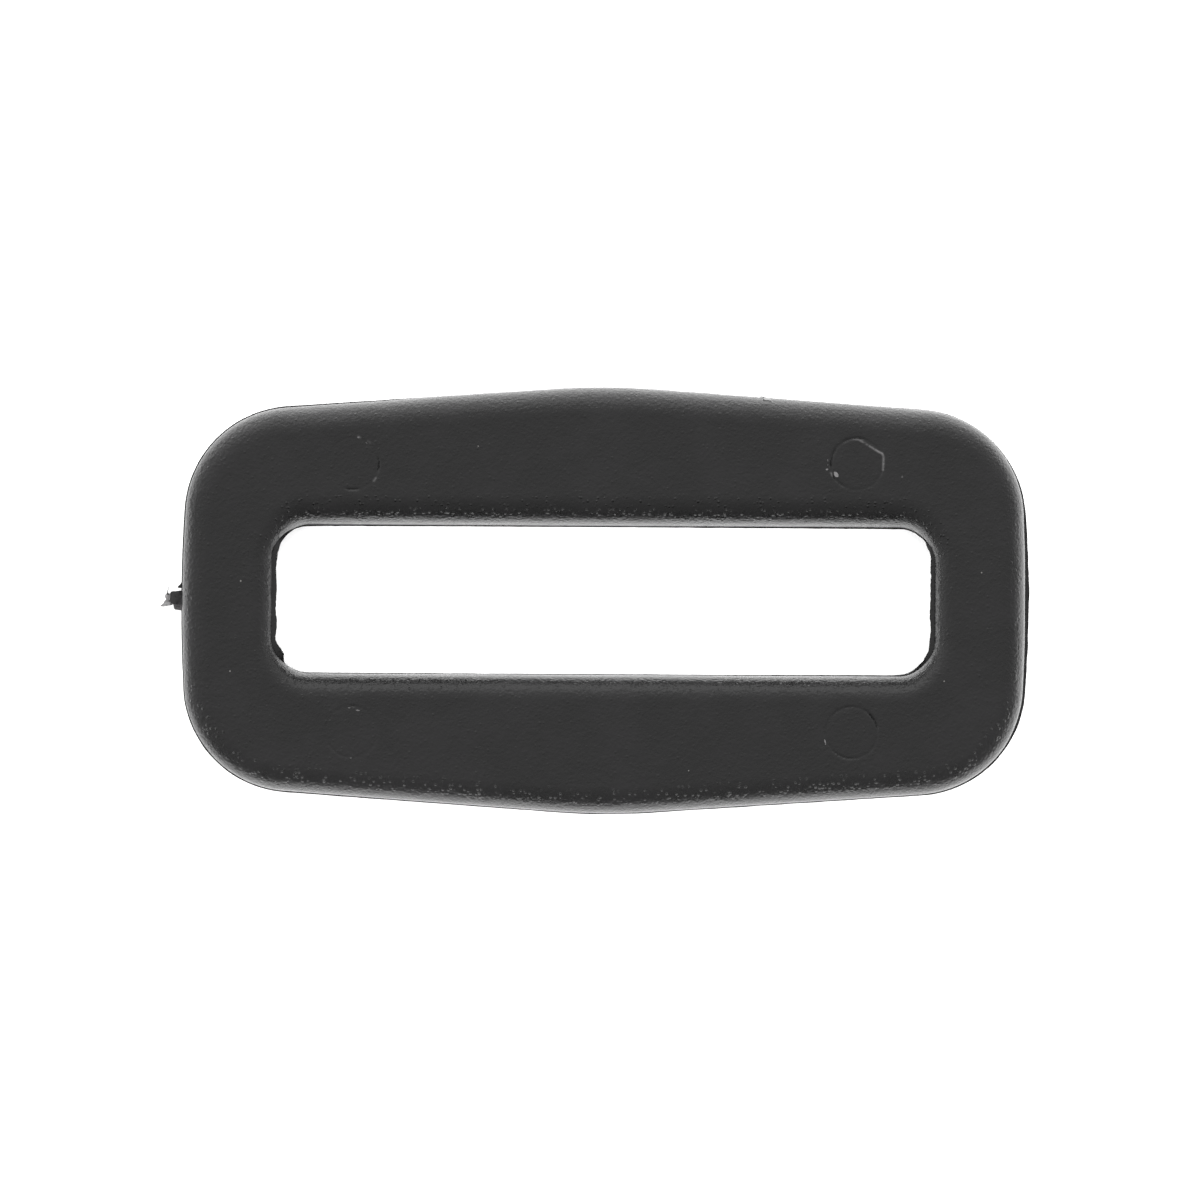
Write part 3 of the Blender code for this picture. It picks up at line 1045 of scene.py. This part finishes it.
class MESH_OT_strap_loop(bpy.types.Operator):
    """Make the moulded loop, with its rounded edges, pin marks and flash"""

    bl_idname = "mesh.strap_loop"
    bl_label = "Moulded Loop"

    def execute(self, context):
        scene = context.scene
        points, torn_and_painted_light, coarse, columns, rows = loop_points(scene.strap_loop, scene.strap_pins)
        piece = mesh_object("moulded_loop", points, ring_faces(columns, rows), plastic_of(context))
        mark(piece, "torn_and_painted_light", torn_and_painted_light)
        mark(piece, "coarse", coarse)
        weld(piece)
        hand_over(piece)
        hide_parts(CAD_NODE)
        return {"FINISHED"}


class MESH_OT_strap_gate(bpy.types.Operator):
    """Make the torn stub of the gate on the end of the loop"""

    bl_idname = "mesh.strap_gate"
    bl_label = "Torn Gate"

    def execute(self, context):
        wall = -context.scene.strap_loop.half_length
        parts = []
        for number, (outline, low, high, ragged, tilt, torn_and_painted_light) in enumerate(GATE_LUMPS):
            plan = [(wall - out * MM, y * MM) for out, y in reversed(outline)]
            lean = (-tilt[0], tilt[1])
            chunk = torn_chunk(plan, low * MM, high * MM, ragged * MM, number + FIRST_GATE_SEED, lean)
            parts.append((*chunk, torn_and_painted_light))
        path = [(wall - out * MM, y * MM, z * MM) for out, y, z in WHISKER_PATH]
        parts.append((*whisker(path, WHISKER_RADIUS), WHISKER_TORN))
        hand_over(joined("torn_gate", parts, plastic_of(context)))
        return {"FINISHED"}


class MESH_OT_strap_chips(bpy.types.Operator):
    """Make the small chips of plastic left on the surface"""

    bl_idname = "mesh.strap_chips"
    bl_label = "Chips"

    def execute(self, context):
        parts = []
        for number, ((x, y, z), length, width, height, turn, torn_and_painted_light) in enumerate(CHIPS):
            plan = [corner * MM + Vector((x, y)) * MM for corner in chip_outline(length, width, turn)]
            chunk = torn_chunk(plan, (z - height / 2) * MM, (z + height / 2) * MM, CHIP_RAGGED, number)
            parts.append((*chunk, torn_and_painted_light))
        hand_over(joined("surface_chips", parts, plastic_of(context)))
        return {"FINISHED"}


class SCENE_OT_strap_stage(bpy.types.Operator):
    """Make the table, the lamps, the surround and the camera"""

    bl_idname = "scene.strap_stage"
    bl_label = "Stage"

    def execute(self, context):
        scene = context.scene
        settings = scene.strap_stage
        table = table_top(settings)
        only_table = bpy.data.collections.new("lit_by_table_lamp")
        only_table.objects.link(table)
        table_lamp = lamp("table_lamp", TABLE_LAMP_SIZE, TABLE_LAMP_PLACE, settings.table_power)
        table_lamp.light_linking.receiver_collection = only_table
        lamp("key_lamp", KEY_LAMP_SIZE, KEY_LAMP_PLACE, settings.key_power)
        surround(settings)
        camera(settings, scene.strap_loop)
        scene.view_settings.view_transform = "Standard"
        return {"FINISHED"}


class VIEW3D_PT_strap_loop(bpy.types.Panel):
    """The loop's pieces, one button each"""

    bl_idname = "VIEW3D_PT_strap_loop"
    bl_label = "Strap Loop"
    bl_space_type = "VIEW_3D"
    bl_region_type = "UI"
    bl_category = "Strap Loop"

    def draw(self, context):
        for operator in OPERATORS:
            self.layout.operator(operator.bl_idname)
        for owner in SETTINGS:
            box = self.layout.box()
            box.label(text=SETTINGS[owner].__doc__)
            for field in SETTINGS[owner].__annotations__:
                box.prop(getattr(context.scene, owner), field)


OPERATORS = (MESH_OT_strap_loop, MESH_OT_strap_gate, MESH_OT_strap_chips, SCENE_OT_strap_stage)
SETTINGS = {
    "strap_loop": LoopSettings,
    "strap_pins": PinMarkSettings,
    "strap_plastic": PlasticSettings,
    "strap_stage": StageSettings,
}
CLASSES = (*SETTINGS.values(), *OPERATORS, VIEW3D_PT_strap_loop)


def register():
    for kind in CLASSES:
        bpy.utils.register_class(kind)
    for owner, kind in SETTINGS.items():
        setattr(bpy.types.Scene, owner, bpy.props.PointerProperty(type=kind))


def unregister():
    for owner in SETTINGS:
        delattr(bpy.types.Scene, owner)
    for kind in reversed(CLASSES):
        bpy.utils.unregister_class(kind)


def main():
    register()
    bpy.ops.mesh.strap_loop()
    bpy.ops.mesh.strap_gate()
    bpy.ops.mesh.strap_chips()
    bpy.ops.scene.strap_stage()


if __name__ == "__main__":
    main()
